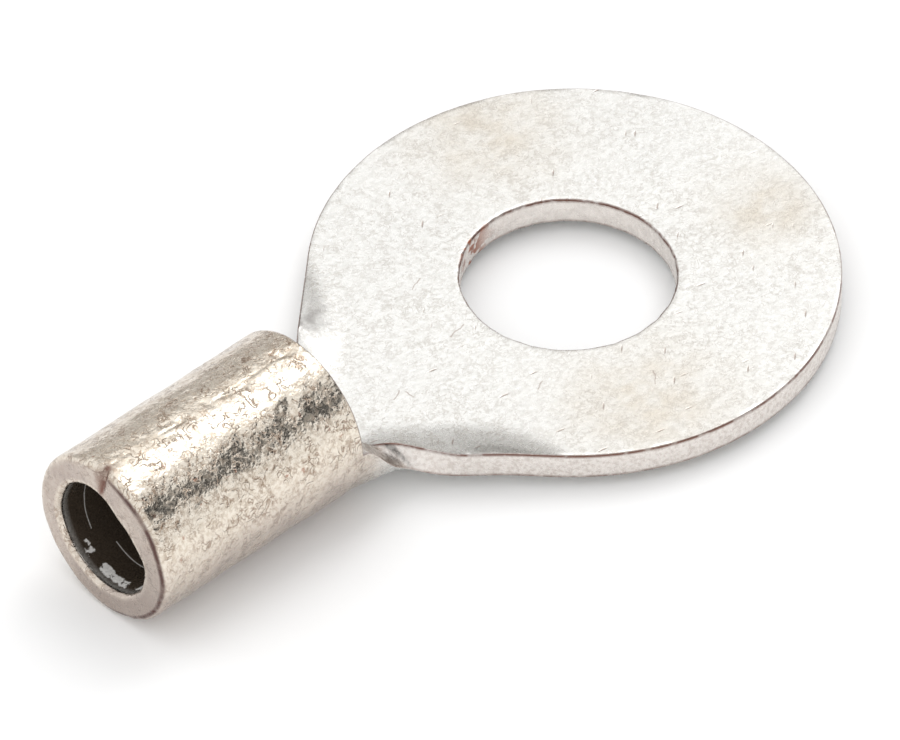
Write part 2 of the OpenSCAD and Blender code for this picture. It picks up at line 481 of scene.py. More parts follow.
# How rolling the sheet marked it: waves, the seam's groove, pits and nick, and the worn mouth
def rolledMoves():
    moved = points.copy()
    lastX = barrel["endX"] + rolling["pastEnd"]
    for v in np.nonzero(points[:, 0] < lastX)[0]:
        spot = points[v]
        x, y, z = spot
        up = z - barrel["axisZ"]
        radius = math.hypot(y, up)
        turn = math.atan2(y, up)
        arc = turn * barrel["radius"]
        along = x - barrel["mouthX"]
        inner = min(1, max(0, (levels[v] - rolling["outerLevel"]) / rolling["levelSpan"]))
        outerLift = ripple(spot, rolling["wide"]) + ripple(spot, rolling["middle"])
        outerLift += ripple(spot, rolling["fine"]) - rolling["shrink"]
        outerLift += markLift(along, arc) - seamGroove(x, arc)
        innerLift = ripple(spot, rolling["bore"]) - boreFlattening(along, turn)
        lift = outerLift * (1 - inner) + innerLift * inner
        reach = max(0, 1 - along / (seam["notchLength"] * 2))
        nick = math.exp(-((arc - seamStray(x)) / seam["notchWidth"]) ** 2)
        moved[v, 0] += seam["notchLength"] * nick * reach * (1 - inner)
        if along < rolling["mouthReach"]:
            worn = max(0, rolling["mouthShare"] + ripple(spot, rolling["mouth"]))
            moved[v, 0] += rolling["mouthWear"] * (1 - along / rolling["mouthReach"]) * worn
        fade = min(1, max(0, (lastX - x) / rolling["pastEnd"]))
        moved[v, 1] += y / radius * lift * fade
        moved[v, 2] += up / radius * lift * fade
    return moved


# The edges that curl up along the flanks, fading out towards the ring
def curlShare(x, y):
    along = np.clip((x - barrel["endX"] - neck["curlStart"]) / neck["curlLength"], 0, 1)
    inward = (flankHalf(x) - abs(y)) * math.cos(flankTurn)
    near = np.clip(1 - inward / neck["curlReach"], 0, 1)
    return np.sin(math.pi * along) ** 2 * near ** 2


def plateMoves(moved):
    for v in np.nonzero(points[:, 0] > barrel["endX"])[0]:
        spot = points[v]
        fade = min(1, (spot[0] - barrel["endX"]) / plate["fadeLength"])
        moved[v, 2] += fade * (ripple(spot, plate["bow"]) - plate["shrink"])
        moved[v, 2] += neck["curlLift"] * curlShare(spot[0], spot[1])
        if kinds[v] == holeKind:
            away = Vector((spot[0] - ring["holeX"], spot[1], 0)).normalized()
            ragged = ripple(spot, plate["holeWide"]) + ripple(spot, plate["holeFine"])
            moved[v, 0] += away.x * ragged
            moved[v, 1] += away.y * ragged
        if kinds[v] == outerKind:
            ragged = ripple(spot, plate["edgeWide"]) + ripple(spot, plate["edgeFine"])
            moved[v, 2] += ragged * levels[v]
    return moved


moved = plateMoves(rolledMoves())
cadLow = np.array(cadBox[0]) / mm
cadHigh = np.array(cadBox[1]) / mm
moved = np.clip(moved, cadLow, cadHigh)

# Where each finish lies on the sheet. A pair is a middle or a start, and then a width or a length.
zones = {
    "rolled": (-0.1, 1.5),  # past the barrel's end
    "rolledTop": 0.3,  # how much of it the sheet's upper side takes
    "bore": (0.1, 0.25),  # in from the mouth
    "boreLevel": 0.72,
    "boreEnd": 0.4,
    "cutLevel": 0.90,  # the cut sides start below it
    "cutFade": 0.12,
    "cutLine": (0.91, 0.10),  # the bare line under the upper edge
    "footLine": -0.91,  # and the one along the lower edge
    "footWidths": (0.25, 0.09),  # round the barrel's far rim, and elsewhere
    "rimReach": 0.001,
    "faceLevel": -0.05,  # the mouth's flat face
    "faceReach": 0.72,
    "faceFade": 0.15,
    "mouthLine": (-0.66, 0.24),
    "mouthLineTop": 0.70,  # its strength at the top, and how much that grows to the -y side
    "mouthLineSide": 0.6,
    # Painted shade on the barrel: its colour darkens by its turn from the top, towards the lower -y side
    # and on the upper +y side
    "nearBarrelShade": (62, 50),  # turns from the top, to the -y side
    "nearBarrelShadeShare": 0.95,
    "farBarrelShade": (8, 30),
    "farBarrelShadeShare": 0.40,
    "seam": (0, 0.22),
    "seamPastEnd": 0.05,
    "nick": (0, 0.42),
    # Painted shade: dark flecks on the lower half of the neck's pinched sides
    "pinchShade": (0.8, 0.55),  # past the barrel's end, where the neck's sides are pinched
    "burr": (110, 14),  # the turn at which the punch left copper bare in the hole
    "glintDrop": (1.0, 0.3),  # below the bore's axis
    "glintDepth": (1.1, 0.5),  # in from the mouth, up to here
    "glintSide": 0.1,  # on the -y side of it they are fewer
    "glintSideShare": 0.93,
}

# Where the tin has yellowed on the ring, and where a darker grey reflection is painted on: x, y and reach
warmPlaces = {
    "farSide": (2.4, 6.2, 2.2),
    "nearSide": (-2.0, -5.6, 2.4),
    "tip": (6.3, -2.0, 1.6),
}
paintedReflectionSpot = (-7.1, 3.75, 0.75)


def ramp(value, start, length):
    return np.clip((value - start) / length, 0, 1)


def bell(value, middle, reach):
    return np.exp(-((value - middle) / reach) ** 2)


def spotShare(x, y, spot):
    return np.exp(-((x - spot[0]) ** 2 + (y - spot[1]) ** 2) / spot[2] ** 2)


# The masks that the material reads, one value to a vertex
def surfaceMasks():
    x, y, z = points.T
    depth = x - barrel["mouthX"]
    pastEnd = x - barrel["endX"]
    turn = np.arctan2(y, z - barrel["axisZ"])
    arc = turn * barrel["radius"]
    degrees = np.degrees(turn)
    isTop = kinds == topKind
    isMouth = kinds == mouthKind
    isHole = kinds == holeKind
    isOuter = kinds == outerKind
    isSide = isOuter | isHole
    isRim = isOuter & (x < barrel["endX"] + zones["rimReach"])

    rolled = (1 - ease(ramp(pastEnd, *zones["rolled"]))) * np.where(isTop, zones["rolledTop"], 1.0)
    bore = (isTop | (levels > zones["boreLevel"])) * ramp(-pastEnd, 0, zones["boreEnd"])
    bore = bore * ramp(depth, *zones["bore"])
    faceGap = abs(levels - zones["faceLevel"])
    mouthSide = np.clip(zones["mouthLineTop"] - zones["mouthLineSide"] * y / barrel["radius"], 0, 1)
    atSeam = bell(arc, *zones["seam"]) * ~isTop
    # painted shade, set by the turn from the top
    nearBarrelShade = zones["nearBarrelShadeShare"] * ease(ramp(-degrees, *zones["nearBarrelShade"]))
    farBarrelShade = zones["farBarrelShadeShare"] * ease(ramp(degrees, *zones["farBarrelShade"]))
    holeTurn = np.degrees(np.arctan2(y, x - ring["holeX"]))
    start, length = zones["glintDepth"]
    glint = bore * ramp(barrel["axisZ"] - z, *zones["glintDrop"]) * ramp(start - depth, 0, length)
    glint = glint * np.where(y > zones["glintSide"], 1.0, zones["glintSideShare"])
    warmPlace = sum(spotShare(x, y, spot) for spot in warmPlaces.values())
    return {
        "rolled": rolled,
        "bore": bore,
        "cutSide": isSide * ramp(zones["cutLevel"] - levels, 0, zones["cutFade"]),
        "cutLine": isSide * bell(levels, *zones["cutLine"]),
        "footLine": isSide * bell(levels, zones["footLine"], np.where(isRim, *zones["footWidths"])),
        "mouthFace": isMouth * ramp(zones["faceReach"] - faceGap, 0, zones["faceFade"]),
        "mouthLine": isMouth * bell(levels, *zones["mouthLine"]) * mouthSide,
        "seamNear": atSeam * (x < barrel["endX"] + zones["seamPastEnd"]),
        "nickSpot": atSeam * bell(depth, *zones["nick"]),
        # painted shade on the pinched neck sides, lower half
        "neckPinchShade": bell(pastEnd, *zones["pinchShade"]) * isOuter * (z < barrel["axisZ"]),
        "barrelShade": np.where(degrees < 0, nearBarrelShade, farBarrelShade),
        "holeSide": isHole,
        "burr": isHole * bell(holeTurn, *zones["burr"]),
        "glint": glint,
        "warmPlace": np.clip(warmPlace, 0, 1),
        "paintedReflectionPlace": spotShare(x, y, paintedReflectionSpot),
        "curl": curlShare(x, y) * isTop,
    }


def addObject(name, data):
    item = bpy.data.objects.new(name, data)
    bpy.context.scene.collection.objects.link(item)
    return item


def makeTerminal():
    mesh = bpy.data.meshes.new("ringTerminalSheet")
    mesh.from_pydata((moved * mm).tolist(), [], faces.tolist())
    for name, values in surfaceMasks().items():
        layer = mesh.attributes.new(name, "FLOAT", "POINT")
        layer.data.foreach_set("value", np.asarray(values, np.float32))
    edit = bmesh.new()
    edit.from_mesh(mesh)
    bmesh.ops.recalc_face_normals(edit, faces=edit.faces)
    edit.to_mesh(mesh)
    edit.free()
    mesh.polygons.foreach_set("use_smooth", [True] * len(mesh.polygons))
    mesh.update()
    return addObject("ringTerminalSheet", mesh)


terminal = makeTerminal()
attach(terminal, "root")
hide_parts("ring_terminal")
print("terminal: mesh made")


def addNode(tree, kind, settings=None, inputs=None):
    node = tree.nodes.new("ShaderNode" + kind)
    for name, value in (settings or {}).items():
        setattr(node, name, value)
    for name, value in (inputs or {}).items():
        setInput(tree, node.inputs[name], value)
    return node


def setInput(tree, socket, value):
    if isinstance(value, bpy.types.NodeSocket):
        tree.links.new(value, socket)
    else:
        socket.default_value = value


def maths(tree, operation, a, b=0.0, clamp=False):
    settings = {"operation": operation, "use_clamp": clamp}
    return addNode(tree, "Math", settings, {0: a, 1: b}).outputs[0]


def times(tree, *values):
    result = values[0]
    for value in values[1:]:
        result = maths(tree, "MULTIPLY", result, value)
    return result


def largest(tree, *values):
    result = values[0]
    for value in values[1:]:
        result = maths(tree, "MAXIMUM", result, value)
    return result


def blend(tree, share, a, b):
    node = addNode(tree, "Mix", {"data_type": "RGBA"})
    for name, value in (("Factor", share), ("A", a), ("B", b)):
        setInput(tree, [s for s in node.inputs if s.name == name and s.enabled][0], value)
    return [s for s in node.outputs if s.enabled][0]


def mixValue(tree, share, a, b):
    return addNode(tree, "Mix", {"data_type": "FLOAT"}, {0: share, 2: a, 3: b}).outputs[0]


def remap(tree, value, low, high, toLow=0.0, toHigh=1.0):
    settings = {"interpolation_type": "SMOOTHSTEP"}
    inputs = {"Value": value, "From Min": low, "From Max": high, "To Min": toLow, "To Max": toHigh}
    return addNode(tree, "MapRange", settings, inputs).outputs[0]


def mask(tree, name):
    return addNode(tree, "Attribute", {"attribute_name": name}).outputs["Fac"]


# The place on the part in millimetres, from the stud hole's centre
def millimetres(tree):
    spot = addNode(tree, "TexCoord").outputs["Object"]
    scale = (1 / mm, 1 / mm, 1 / mm)
    return addNode(tree, "VectorMath", {"operation": "MULTIPLY"}, {0: spot, 1: scale}).outputs[0]


def noiseValue(tree, spot, scale, detail=2.0, roughness=0.5):
    inputs = {"Vector": spot, "Scale": scale, "Detail": detail, "Roughness": roughness}
    return addNode(tree, "TexNoise", {}, inputs).outputs[0]


def startGroup(name, inputs, outputs):
    tree = bpy.data.node_groups.new(name, "ShaderNodeTree")
    for label, value in inputs.items():
        socket = tree.interface.new_socket(label, in_out="INPUT", socket_type="NodeSocketFloat")
        socket.default_value = value
    for label in outputs:
        tree.interface.new_socket(label, in_out="OUTPUT", socket_type="NodeSocketFloat")
    return tree, tree.nodes.new("NodeGroupInput").outputs, tree.nodes.new("NodeGroupOutput").inputs


# Puts a group into a material; an underscore in a name stands for a space
def useGroup(tree, group, **values):
    node = tree.nodes.new("ShaderNodeGroup")
    node.node_tree = group
    for name, value in values.items():
        setInput(tree, node.inputs[name.replace("_", " ")], value)
    return node.outputs


wrinkles = {
    "detail": (3.0, 0.6),
    "grainScale": 1.3,
    "grainShare": 0.5,
    "tone": (0.35, 0.68),
}


# Wrinkled tin: the fine orange peel that the plating leaves, from 0 to 1
def wrinkleGroup():
    tree, given, out = startGroup("wrinkledTin", {"Size": 6.0}, ["Height", "Tone"])
    here = millimetres(tree)
    fine = noiseValue(tree, here, given["Size"], *wrinkles["detail"])
    grains = noiseValue(tree, here, times(tree, given["Size"], wrinkles["grainScale"]), 0.0)
    height = maths(tree, "ADD", fine, times(tree, grains, wrinkles["grainShare"]))
    tree.links.new(height, out["Height"])
    tree.links.new(remap(tree, fine, *wrinkles["tone"]), out["Tone"])
    return tree


crinkles = {
    "distortion": 0.8,
    "gapScale": 0.6,  # of the lines' own scale
    "gaps": (0.44, 0.56),
}


# Thin broken crinkle lines, where a noise passes its middle value
def crinkleGroup():
    tree, given, out = startGroup("crinkleLines", {"Size": 4.0, "Width": 0.03}, ["Mask"])
    here = millimetres(tree)
    inputs = {"Vector": here, "Scale": given["Size"], "Detail": 2.0, "Distortion": crinkles["distortion"]}
    field = addNode(tree, "TexNoise", {}, inputs).outputs[0]
    away = maths(tree, "ABSOLUTE", maths(tree, "SUBTRACT", field, 0.5))
    line = maths(tree, "SUBTRACT", 1.0, maths(tree, "DIVIDE", away, given["Width"], True), True)
    gaps = noiseValue(tree, here, times(tree, given["Size"], crinkles["gapScale"]), 1.0)
    tree.links.new(times(tree, line, remap(tree, gaps, *crinkles["gaps"])), out["Mask"])
    return tree


fleckEdge = {
    "scale": 5.0,  # how finely the flecks' edges wander, and how far
    "wander": 0.35,
    "core": 0.5,  # share of the radius inside which a fleck is full
}


# Small scattered spots, in a share of all the cells
def fleckGroup():
    tree, given, out = startGroup("scatteredFlecks", {"Size": 3.0, "Share": 0.2, "Radius": 0.3}, ["Mask"])
    here = millimetres(tree)
    inputs = {"Vector": here, "Scale": fleckEdge["scale"], "Detail": 2.0}
    wobble = addNode(tree, "TexNoise", {}, inputs).outputs["Color"]
    centred = addNode(tree, "VectorMath", {"operation": "SUBTRACT"}, {0: wobble, 1: (0.5, 0.5, 0.5)})
    inputs = {0: centred.outputs[0], "Scale": fleckEdge["wander"]}
    scaled = addNode(tree, "VectorMath", {"operation": "SCALE"}, inputs).outputs[0]
    bent = addNode(tree, "VectorMath", {"operation": "ADD"}, {0: here, 1: scaled}).outputs[0]
    cells = addNode(tree, "TexVoronoi", {}, {"Vector": bent, "Scale": given["Size"]})
    chance = addNode(tree, "SeparateColor", {}, {"Color": cells.outputs["Color"]}).outputs[0]
    chosen = maths(tree, "LESS_THAN", chance, given["Share"])
    core = times(tree, given["Radius"], fleckEdge["core"])
    inputs = {"Value": cells.outputs["Distance"], "From Min": given["Radius"], "From Max": core}
    near = addNode(tree, "MapRange", {}, inputs).outputs[0]
    tree.links.new(times(tree, chosen, near), out["Mask"])
    return tree


scratchCells = {
    "stretch": (1.6, 9.0, 0.5),
    "edge": (0.34, 0.12),
}


# Short scratches: long thin cells laid across the sheet
def scratchGroup():
    tree, given, out = startGroup("shortScratches", {"Turn": 0.6, "Share": 0.1}, ["Mask"])
    inputs = {"Vector": millimetres(tree), "Angle": given["Turn"]}
    turned = addNode(tree, "VectorRotate", {"rotation_type": "Z_AXIS"}, inputs).outputs[0]
    inputs = {0: turned, 1: scratchCells["stretch"]}
    stretched = addNode(tree, "VectorMath", {"operation": "MULTIPLY"}, inputs).outputs[0]
    cells = addNode(tree, "TexVoronoi", {}, {"Vector": stretched, "Scale": 1.0})
    chance = addNode(tree, "SeparateColor", {}, {"Color": cells.outputs["Color"]}).outputs[0]
    chosen = maths(tree, "LESS_THAN", chance, given["Share"])
    near = remap(tree, cells.outputs["Distance"], *scratchCells["edge"])
    tree.links.new(times(tree, chosen, near), out["Mask"])
    return tree


# Single scratches on the tongue. Their turns are in radians.
scratchLines = {
    "neck": {"X": -7.3, "Y": -0.3, "Turn": 0.35, "Half_Length": 0.22, "Width": 0.035},
    "neckCross": {"X": -7.0, "Y": -0.55, "Turn": 1.5, "Half_Length": 0.18, "Width": 0.03},
    "holeSide": {"X": -4.1, "Y": 0.5, "Turn": 0.25, "Half_Length": 0.34, "Width": 0.035},
    "farSide": {"X": -3.6, "Y": 2.8, "Turn": 0.30, "Half_Length": 0.28, "Width": 0.03},
    "nearSide": {"X": -3.9, "Y": -2.9, "Turn": 0.45, "Half_Length": 0.20, "Width": 0.03},
    "nearFront": {"X": -1.2, "Y": -5.0, "Turn": 0.9, "Half_Length": 0.30, "Width": 0.035},
}


# One scratch, at a place and a turn
def scratchLineGroup():
    inputs = {"X": 0.0, "Y": 0.0, "Turn": 0.0, "Half Length": 0.3, "Width": 0.03, "Bend": 0.0}
    tree, given, out = startGroup("scratchLine", inputs, ["Mask"])
    here = millimetres(tree)
    middle = addNode(tree, "CombineXYZ", {}, {"X": given["X"], "Y": given["Y"]}).outputs[0]
    away = addNode(tree, "VectorMath", {"operation": "SUBTRACT"}, {0: here, 1: middle}).outputs[0]
    inputs = {"Vector": away, "Angle": times(tree, given["Turn"], -1.0)}
    turned = addNode(tree, "VectorRotate", {"rotation_type": "Z_AXIS"}, inputs).outputs[0]
    parts = addNode(tree, "SeparateXYZ", {}, {"Vector": turned}).outputs
    across = maths(tree, "ABSOLUTE", maths(tree, "ADD", parts[1], given["Bend"]))
    inside = maths(tree, "LESS_THAN", maths(tree, "ABSOLUTE", parts[0]), given["Half Length"])
    line = maths(tree, "SUBTRACT", 1.0, maths(tree, "DIVIDE", across, given["Width"]), True)
    tree.links.new(times(tree, line, inside), out["Mask"])
    return tree


# The thin bright rings in the bore, which are painted highlights
boreHighlightRings = {
    "near": {"Depth": 0.80, "Slant": -0.10, "Width": 0.022, "Side_Low": 1.45, "Side_High": 2.0},
    "far": {"Depth": 1.40, "Slant": 0.0, "Width": 0.026, "Side_Low": -0.4, "Side_High": 0.9},
}


# One such painted highlight ring, at one depth and over part of the width
def boreHighlightGroup():
    inputs = {"Depth": 1.0, "Slant": 0.0, "Width": 0.03, "Side Low": 0.0, "Side High": 1.0}
    tree, given, out = startGroup("boreHighlightStreak", inputs, ["Mask"])
    parts = addNode(tree, "SeparateXYZ", {}, {"Vector": millimetres(tree)}).outputs
    along = maths(tree, "SUBTRACT", parts[0], barrel["mouthX"])
    along = maths(tree, "ADD", along, times(tree, parts[2], given["Slant"]))
    away = maths(tree, "ABSOLUTE", maths(tree, "SUBTRACT", along, given["Depth"]))
    line = maths(tree, "SUBTRACT", 1.0, maths(tree, "DIVIDE", away, given["Width"]), True)
    above = maths(tree, "GREATER_THAN", parts[1], given["Side Low"])
    below = maths(tree, "LESS_THAN", parts[1], given["Side High"])
    tree.links.new(times(tree, line, above, below), out["Mask"])
    return tree


wrinkledTin = wrinkleGroup()
crinkleLines = crinkleGroup()
scatteredFlecks = fleckGroup()
shortScratches = scratchGroup()
scratchLine = scratchLineGroup()
boreHighlightStreak = boreHighlightGroup()

tin = {
    "tongue": (0.865, 0.86, 0.835, 1),
    "tongueShade": (0.64, 0.625, 0.59, 1),
    # painted reflection: a darker grey spot on the ring's +y flank
    "paintedReflection": (0.42, 0.40, 0.385, 1),
    "crease": (0.46, 0.42, 0.37, 1),
    "warmPatch": (0.70, 0.64, 0.55, 1),
    "rolled": (0.84, 0.77, 0.67, 1),
    "rolledShade": (0.56, 0.465, 0.36, 1),
    # painted shade on the barrel's lower -y side and upper +y side
    "barrelShade": (0.50, 0.43, 0.385, 1),
    "cutSide": (0.80, 0.755, 0.715, 1),
    "cutShade": (0.44, 0.37, 0.33, 1),
    "line": (0.22, 0.125, 0.07, 1),
    "copper": (0.34, 0.13, 0.075, 1),
    "edgeLine": (0.15, 0.06, 0.04, 1),
    "mouthLine": (0.07, 0.025, 0.017, 1),
    # painted shade: the inside of the bore, near black
    "bore": (0.060, 0.045, 0.032, 1),
    "glint": (0.95, 0.93, 0.90, 1),
    "tongueRoughness": (0.25, 0.36),
    "rolledRoughness": (0.17, 0.31),
    "wrinkleHeight": 0.005,  # heights of the bumps, in millimetres
    "rolledHeight": 0.010,
    "lumpHeight": 0.040,
    "broadHeight": 0.050,
    "tongueLumps": 0.12,  # how much of the lumps and broad waves the tongue has
    "scratchDepth": 0.006,
}

# Noises are scale, detail and roughness. Spans are the values between which something rises, and
# where two more follow, from how much to how much.
look = {
    "wrinkleSize": 6.5,
    "lumpSize": 1.9,
    "crinkle": {"Size": 3.0, "Width": 0.050},
    "fineCrinkle": {"Size": 5.5, "Width": 0.080},
    "scratches": {"Turn": -0.75, "Share": 0.022},
    "crossScratches": {"Turn": 0.2, "Share": 0.012},
    "flecks": {"Size": 3.2, "Share": 0.10, "Radius": 0.24},
    "broadNoise": (0.7, 2.0),
    "brokenNoise": (1.6, 3.0, 0.6),
    "brokenSpan": (0.36, 0.56),
    "speckleNoise": (7.0, 3.0, 0.6),
    "speckleSpan": (0.40, 0.66),
    "bendNoise": (2.5,),
    "bend": 0.25,
    "patchShare": 0.95,
    "shadeShare": 0.35,
    "creaseSpan": (0.35, 0.65, 0.30, 0.52),
    "scratchShare": 0.9,
    "rolledShare": 0.55,
    "crinkleShare": 0.72,
    "fineCrinkleShare": 0.50,
    "fleckShare": 0.6,
    "barrelShadeSpan": (0.3, 0.7, 0.6, 1.0),
    "seamShare": 0.35,
    "wornShare": 0.42,  # of the cut sides, and of the smoother hole
    "wornHoleShare": 0.12,
    "lineSpan": (0, 1, 0.60, 1.0),
    "footSpan": (0, 1, 0.80, 0.50),
    "faceSpan": (0.35, 0.65, 0.70, 0.98),
    "mouthLineSpan": (0.40, 0.90),
    "mouthLineBreaks": (0, 1, 0.70, 1.0),
    "glintNoise": (1.7, 4.0, 0.65),
    "glintSpan": (0.455, 0.50),
    "lineDirt": 0.9,  # how far a dirty place stops being a mirror
    # and how far the bore's painted shade stops being a mirror
    "boreShadeMatte": 0.8,
}


# The noise that breaks up each of these masks, and its span
patterns = {
    "warmPlace": ((0.9, 3.0, 0.6), (0.3, 0.7, 0.4, 1.0)),
    "paintedReflectionPlace": ((2.4, 2.0), (0.35, 0.6, 0.3, 0.9)),
    "burr": ((2.6, 2.0), (0.46, 0.54)),
    "nickSpot": ((4.0, 2.0), (0.35, 0.55, 0.4, 1.0)),
    "neckPinchShade": ((2.8, 2.0), (0.47, 0.57, 0.1, 0.8)),
}


# What several parts of the finish share
def sharedFields(tree):
    here = millimetres(tree)
    scratches = useGroup(tree, shortScratches, **look["scratches"])["Mask"]
    crossScratches = useGroup(tree, shortScratches, **look["crossScratches"])["Mask"]
    return {
        "here": here,
        "rolled": mask(tree, "rolled"),
        "bore": mask(tree, "bore"),
        "wrinkle": useGroup(tree, wrinkledTin, Size=look["wrinkleSize"]),
        "lumps": useGroup(tree, wrinkledTin, Size=look["lumpSize"]),
        "crinkle": useGroup(tree, crinkleLines, **look["crinkle"])["Mask"],
        "fineCrinkle": useGroup(tree, crinkleLines, **look["fineCrinkle"])["Mask"],
        "broad": noiseValue(tree, here, *look["broadNoise"]),
        "broken": remap(tree, noiseValue(tree, here, *look["brokenNoise"]), *look["brokenSpan"]),
        "speckle": remap(tree, noiseValue(tree, here, *look["speckleNoise"]), *look["speckleSpan"]),
        "scratches": largest(tree, scratches, crossScratches),
    }


# A mask from the mesh, broken up by a noise of its own
def brokenMask(tree, field, name):
    pattern, span = patterns[name]
    return times(tree, mask(tree, name), remap(tree, noiseValue(tree, field["here"], *pattern), *span))


# Lays one of the tin's colours over the rest, by the product of the shares
def cover(tree, colour, name, *shares):
    return blend(tree, times(tree, *shares), colour, tin[name])


def tongueColour(tree, field):
    shade = times(tree, field["wrinkle"]["Tone"], look["shadeShare"])
    colour = blend(tree, shade, tin["tongue"], tin["tongueShade"])
    patches = brokenMask(tree, field, "warmPlace")
    colour = cover(tree, colour, "warmPatch", patches, look["patchShare"])
    creases = largest(tree, field["crinkle"], field["fineCrinkle"])
    creases = times(tree, creases, remap(tree, field["broad"], *look["creaseSpan"]))
    colour = cover(tree, colour, "crease", creases)
    bend = maths(tree, "SUBTRACT", noiseValue(tree, field["here"], *look["bendNoise"]), 0.5)
    bend = times(tree, bend, look["bend"])
    scored = field["scratches"]
    for scratch in scratchLines.values():
        scored = largest(tree, scored, useGroup(tree, scratchLine, Bend=bend, **scratch)["Mask"])
    colour = cover(tree, colour, "cutShade", scored, look["scratchShare"])
    # Painted reflection: a darker grey spot by the neck on the +y flank
    paintedReflection = brokenMask(tree, field, "paintedReflectionPlace")
    return cover(tree, colour, "paintedReflection", paintedReflection)


def barrelColour(tree, field):
    shade = times(tree, field["speckle"], look["rolledShare"])
    colour = blend(tree, shade, tin["rolled"], tin["rolledShade"])
    colour = cover(tree, colour, "line", field["crinkle"], look["crinkleShare"])
    colour = cover(tree, colour, "line", field["fineCrinkle"], look["fineCrinkleShare"])
    flecks = useGroup(tree, scatteredFlecks, **look["flecks"])["Mask"]
    colour = cover(tree, colour, "copper", flecks, look["fleckShare"])
    # Painted shade: darker towards the lower -y side and on the upper +y side, by the turn from the top
    barrelShade = times(tree, mask(tree, "barrelShade"), remap(tree, field["broad"], *look["barrelShadeSpan"]))
    return cover(tree, colour, "barrelShade", barrelShade)


# The cut sides, with copper bare along their corners
def cutColour(tree, field, colour):
    share = mixValue(tree, mask(tree, "holeSide"), look["wornShare"], look["wornHoleShare"])
    cutTin = blend(tree, times(tree, field["speckle"], share), tin["cutSide"], tin["cutShade"])
    colour = blend(tree, mask(tree, "cutSide"), colour, cutTin)
    lines = times(tree, mask(tree, "cutLine"), remap(tree, field["broken"], *look["lineSpan"]))
    feet = times(tree, mask(tree, "footLine"), remap(tree, field["broken"], *look["footSpan"]))
    colour = cover(tree, colour, "edgeLine", largest(tree, lines, feet))
    burr = brokenMask(tree, field, "burr")
    return cover(tree, colour, "copper", burr)


# Marks at the mouth and the seam, and painted shade at the neck's pinched sides. The mouth line and the
# nick also say where the metal is too dirty to mirror.
def markColour(tree, field, colour):
    face = times(tree, mask(tree, "mouthFace"), remap(tree, field["broad"], *look["faceSpan"]))
    colour = cover(tree, colour, "cutShade", face)
    line = remap(tree, mask(tree, "mouthLine"), *look["mouthLineSpan"])
    line = times(tree, line, remap(tree, field["broken"], *look["mouthLineBreaks"]))
    colour = cover(tree, colour, "mouthLine", line)
    seamMark = times(tree, mask(tree, "seamNear"), field["lumps"]["Tone"], look["seamShare"])
    colour = cover(tree, colour, "rolledShade", seamMark)
    nick = brokenMask(tree, field, "nickSpot")
    colour = cover(tree, colour, "edgeLine", nick)
    # painted shade at the neck's pinched sides
    pinchShade = brokenMask(tree, field, "neckPinchShade")
    colour = cover(tree, colour, "line", pinchShade)
    notMirroring = largest(tree, times(tree, line, look["lineDirt"]), times(tree, nick, look["lineDirt"]))
    return colour, notMirroring


# The bore's inside is painted shade, near black, with painted highlights near the mouth: glints low down
# and two thin bright rings
def boreColour(tree, field, colour):
    colour = cover(tree, colour, "bore", field["bore"])
    glints = times(tree, noiseValue(tree, field["here"], *look["glintNoise"]), mask(tree, "glint"))
    glints = remap(tree, glints, *look["glintSpan"])
    for boreRing in boreHighlightRings.values():
        highlightStreak = useGroup(tree, boreHighlightStreak, **boreRing)["Mask"]
        glints = largest(tree, glints, times(tree, highlightStreak, field["bore"]))
    return cover(tree, colour, "glint", glints)


def tinBumps(tree, field):
    fineHeight = mixValue(tree, field["rolled"], tin["wrinkleHeight"], tin["rolledHeight"])
    height = times(tree, field["wrinkle"]["Height"], fineHeight)
    lumps = times(tree, field["lumps"]["Height"], tin["lumpHeight"])
    lumps = maths(tree, "ADD", lumps, times(tree, field["broad"], tin["broadHeight"]))
    lumps = times(tree, lumps, mixValue(tree, field["rolled"], tin["tongueLumps"], 1.0))
    height = maths(tree, "ADD", height, lumps)
    crinkle = times(tree, field["crinkle"], field["rolled"], tin["rolledHeight"])
    height = maths(tree, "SUBTRACT", height, crinkle)
    height = maths(tree, "SUBTRACT", height, times(tree, field["scratches"], tin["scratchDepth"]))
    height = maths(tree, "ADD", height, times(tree, mask(tree, "curl"), neck["curlTilt"]))
    inputs = {"Height": height, "Strength": 1.0, "Distance": mm}
    return addNode(tree, "Bump", {}, inputs).outputs[0]


def tinMaterial():
    material = bpy.data.materials.new("tinnedCopper")
    material.use_nodes = True
    tree = material.node_tree
    shader = tree.nodes["Principled BSDF"]
    field = sharedFields(tree)
    colour = blend(tree, field["rolled"], tongueColour(tree, field), barrelColour(tree, field))
    colour = cutColour(tree, field, colour)
    colour, notMirroring = markColour(tree, field, colour)
    colour = boreColour(tree, field, colour)
    tree.links.new(colour, shader.inputs["Base Color"])
    # the bore's painted shade stops mirroring too
    notMirroring = largest(tree, notMirroring, times(tree, field["bore"], look["boreShadeMatte"]))
    tree.links.new(maths(tree, "SUBTRACT", 1.0, notMirroring), shader.inputs["Metallic"])
    rough = remap(tree, field["wrinkle"]["Tone"], 0, 1, *tin["tongueRoughness"])
    roughRolled = remap(tree, field["speckle"], 0, 1, *tin["rolledRoughness"])
    tree.links.new(mixValue(tree, field["rolled"], rough, roughRolled), shader.inputs["Roughness"])
    tree.links.new(tinBumps(tree, field), shader.inputs["Normal"])
    return material


tinnedCopper = tinMaterial()
terminal.data.materials.append(tinnedCopper)
for node in frame["nodes"].values():
    node.data.materials.clear()
    node.data.materials.append(tinnedCopper)
print("terminal: material made")

# Sizes and distances here are in metres, and lamps and cards look at the stud hole
studio = {
    "floorSize": 1.2,
    "floorColour": (0.93, 0.93, 0.93, 1),
    "floorSpecular": 0.1,
    "paperRoughness": 0.9,
    "worldStrength": 1.25,
}

